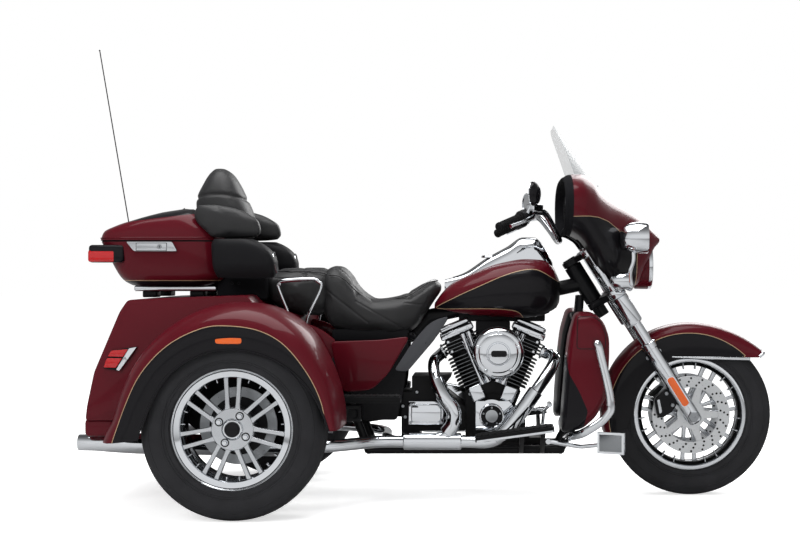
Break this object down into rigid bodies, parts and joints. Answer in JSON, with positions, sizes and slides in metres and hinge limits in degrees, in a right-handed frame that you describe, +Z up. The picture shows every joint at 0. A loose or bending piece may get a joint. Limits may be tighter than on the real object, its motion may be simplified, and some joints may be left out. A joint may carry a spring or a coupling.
{
  "type": "touring motor trike",
  "caption": "Touring motor trike with a steered front wheel, driven rear wheels, V-twin engine, fork-mounted fairing, hinged luggage case and rear cargo body with a door.",
  "frame": {"origin": "on the floor under the middle of the outline", "axes": "+X forward, +Y to the rider's left, +Z up"},
  "size_m": [2.712, 1.394, 1.7875],
  "materials": {
    "paint_red": "deep candy red lacquer",
    "engine_black": "black powder coat",
    "frame_black": "gloss black powder coat",
    "black_plastic": "moulded black",
    "grey_plastic": "moulded dark grey",
    "leather": "black grained cover",
    "chrome": "polished",
    "aluminium": "cast and machined",
    "disc_steel": "ground",
    "rubber": "moulded",
    "tyre": "moulded",
    "glass": "clear",
    "lamp_red": "moulded lens"
  },
  "bodies": {
    "chassis": {"frame": "frame_black", "crankcase": "engine_black", "cylinder_rear": "engine_black", "cylinder_front": "engine_black", "rocker_covers": "chrome", "pushrod_tubes": "chrome", "air_cleaner": "chrome", "engine_covers": "chrome", "primary_cover": "chrome", "gearbox": "engine_black", "exhaust": "chrome", "fuel_tank": "paint_red", "tank_console": "chrome", "rider_seat": "leather", "passenger_seat": "leather", "grab_rails": "chrome", "case_base": "paint_red", "case_latch": "chrome", "case_support": "chrome", "speaker_pods": "black_plastic", "antenna": "black_plastic", "rear_body": "paint_red", "rear_fenders": "paint_red", "rear_lamps": "lamp_red", "side_covers": "paint_red", "air_deflectors": "grey_plastic", "lower_fairings": "paint_red", "engine_guard": "chrome", "footboards": "rubber", "foot_controls": "chrome", "swingarm": "frame_black", "rear_axle": "frame_black", "rear_shocks": "frame_black", "drive_belt": "rubber"},
    "case_lid": {"case_lid": "paint_red", "backrest": "leather"},
    "rear_door": {"rear_door": "paint_red"},
    "steering": {"fork": "chrome", "handlebar": "chrome", "grips": "rubber", "hand_controls": "chrome", "fairing_outer": "paint_red", "fairing_inner": "black_plastic", "windshield": "glass", "front_lamps": "chrome", "front_fender": "paint_red", "front_calipers": "engine_black"},
    "front_wheel": {"front_tyre": "tyre", "front_rim": "aluminium", "front_discs": "disc_steel"},
    "rear_wheel_right": {"rear_tyre_right": "tyre", "rear_rim_right": "aluminium"},
    "rear_wheel_left": {"rear_tyre_left": "tyre", "rear_rim_left": "aluminium"}
  },
  "joints": [
    {"name": "steering_turn", "type": "hinge", "parent": "chassis", "child": "steering", "pos_m": [0.62771, 0, 0.82484], "axis": [-0.5299, 0, 0.848], "range_deg": [-30, 30]},
    {"name": "front_wheel_spin", "type": "hinge", "parent": "steering", "child": "front_wheel", "pos_m": [1.04, 0, 0.316], "axis": [0, 1, 0], "continuous": true},
    {"name": "rear_right_wheel_spin", "type": "hinge", "parent": "chassis", "child": "rear_wheel_right", "pos_m": [-0.636, -0.572, 0.322], "axis": [0, 1, 0], "continuous": true},
    {"name": "rear_left_wheel_spin", "type": "hinge", "parent": "chassis", "child": "rear_wheel_left", "pos_m": [-0.636, 0.572, 0.322], "axis": [0, 1, 0], "continuous": true},
    {"name": "case_lid_hinge", "type": "hinge", "parent": "chassis", "child": "case_lid", "pos_m": [-0.966, 0.307, 0.985], "axis": [-1, 0, 0], "range_deg": [0, 75]},
    {"name": "rear_door_hinge", "type": "hinge", "parent": "chassis", "child": "rear_door", "pos_m": [-1.234, 0, 0.344], "axis": [0, -1, 0], "range_deg": [0, 90]}
  ]
}
